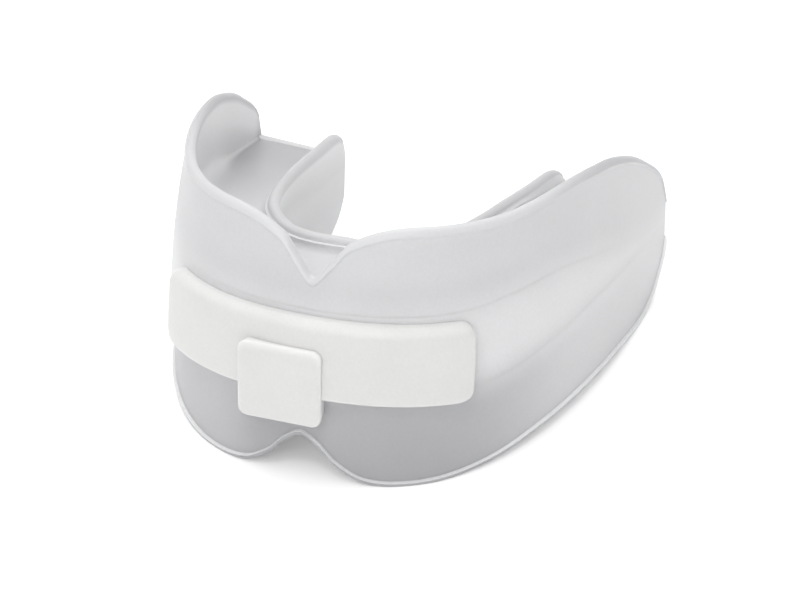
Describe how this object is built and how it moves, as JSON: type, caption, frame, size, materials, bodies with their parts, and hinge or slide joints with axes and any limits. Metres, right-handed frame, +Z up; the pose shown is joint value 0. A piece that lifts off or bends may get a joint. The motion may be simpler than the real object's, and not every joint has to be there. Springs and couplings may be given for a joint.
{
  "type": "mouthguard",
  "caption": "Translucent double-arch mouthguard: upper and lower tooth trays joined by a bite wedge, with a raised front band and a square tab.",
  "frame": {"origin": "on the surface that the guard stands on, under the middle of its bounding box", "axes": "+X to the wearer's left side, the longest side of the box; +Y from the lips back to the molars; +Z up, as the guard rests on the rim of its lower tray"},
  "size_m": [0.062, 0.0596, 0.0332],
  "materials": {
    "tray_soft_clear": "frosted translucent moulded elastomer, fine matt grain, softly glossy rims",
    "wedge_milky": "milky translucent moulded elastomer",
    "band_white": "opaque off-white moulded elastomer, satin"
  },
  "bodies": {
    "root": {"upper_tray": "tray_soft_clear", "lower_tray": "tray_soft_clear", "bite_wedge": "wedge_milky", "front_band": "band_white", "centre_tab": "band_white"}
  },
  "joints": []
}
